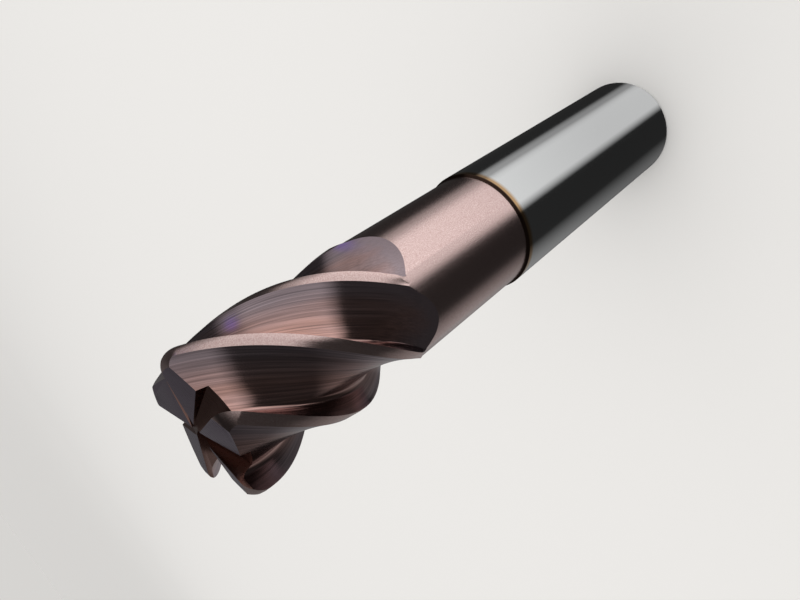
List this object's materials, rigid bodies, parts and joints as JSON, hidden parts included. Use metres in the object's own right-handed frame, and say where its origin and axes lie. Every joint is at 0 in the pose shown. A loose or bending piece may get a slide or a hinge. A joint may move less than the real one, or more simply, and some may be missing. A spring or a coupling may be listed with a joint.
{
  "type": "solid carbide end mill",
  "caption": "Solid carbide end mill with a plain cylindrical shank, relieved neck, steep right-hand helical flutes and rounded corners.",
  "frame": {"origin": "centre of the flat end of the shank", "axes": "+Z along the tool's axis from the shank to the cutting end; +X and +Y square to it, with the pictured side towards +X"},
  "size_m": [0.019, 0.019, 0.1016],
  "materials": {
    "carbide": "ground tungsten carbide: rose-brown hard coating on the cutter and neck, bare and bright on the shank"
  },
  "bodies": {
    "root": {"end_mill": "carbide"}
  },
  "joints": []
}
